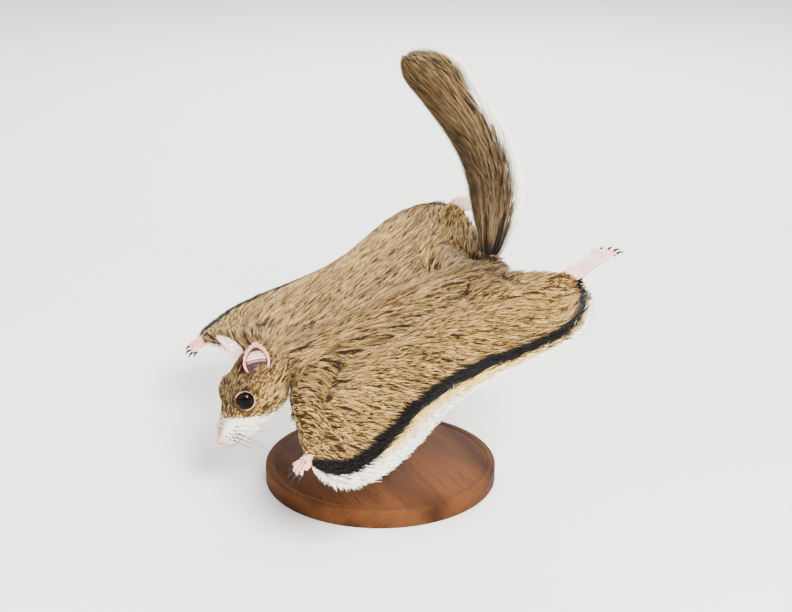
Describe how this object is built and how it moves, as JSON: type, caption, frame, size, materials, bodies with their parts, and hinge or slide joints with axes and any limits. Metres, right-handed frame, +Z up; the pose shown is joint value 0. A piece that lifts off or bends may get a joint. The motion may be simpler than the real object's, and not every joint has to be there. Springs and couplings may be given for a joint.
{
  "type": "flying squirrel model",
  "caption": "Life-size still model of a flying squirrel in a glide, limbs and gliding membrane spread, tail raised, held on a plain round display stand.",
  "frame": {"origin": "centre of the stand base's underside, on the floor under the rod", "axes": "+Z up; the squirrel glides towards -Y; +X is the squirrel's own left"},
  "size_m": [0.2066, 0.184, 0.2092],
  "materials": {
    "fur": "dense soft fur, tan and brown above with a dark stripe along the membrane's edge, white below",
    "skin": "bare pink skin",
    "foot": "pale pink skin with short pale hair and dark claws",
    "eye": "wet, glossy, nearly black",
    "stand": "satin wood",
    "steel": "brushed steel"
  },
  "bodies": {
    "root": {"ear_left": "skin", "ear_right": "skin", "eye_left": "eye", "eye_right": "eye", "forearm_left": "fur", "forearm_right": "fur", "forefoot_left": "foot", "forefoot_right": "foot", "head": "fur", "hind_foot_left": "foot", "hind_foot_right": "foot", "neck": "fur", "nose": "skin", "patagium_left": "fur", "patagium_right": "fur", "shin_left": "fur", "shin_right": "fur", "stand_base": "stand", "stand_collar": "steel", "stand_rod": "steel", "tail": "fur", "thigh_left": "fur", "thigh_right": "fur", "torso": "fur", "upper_arm_left": "fur", "upper_arm_right": "fur"}
  },
  "joints": []
}
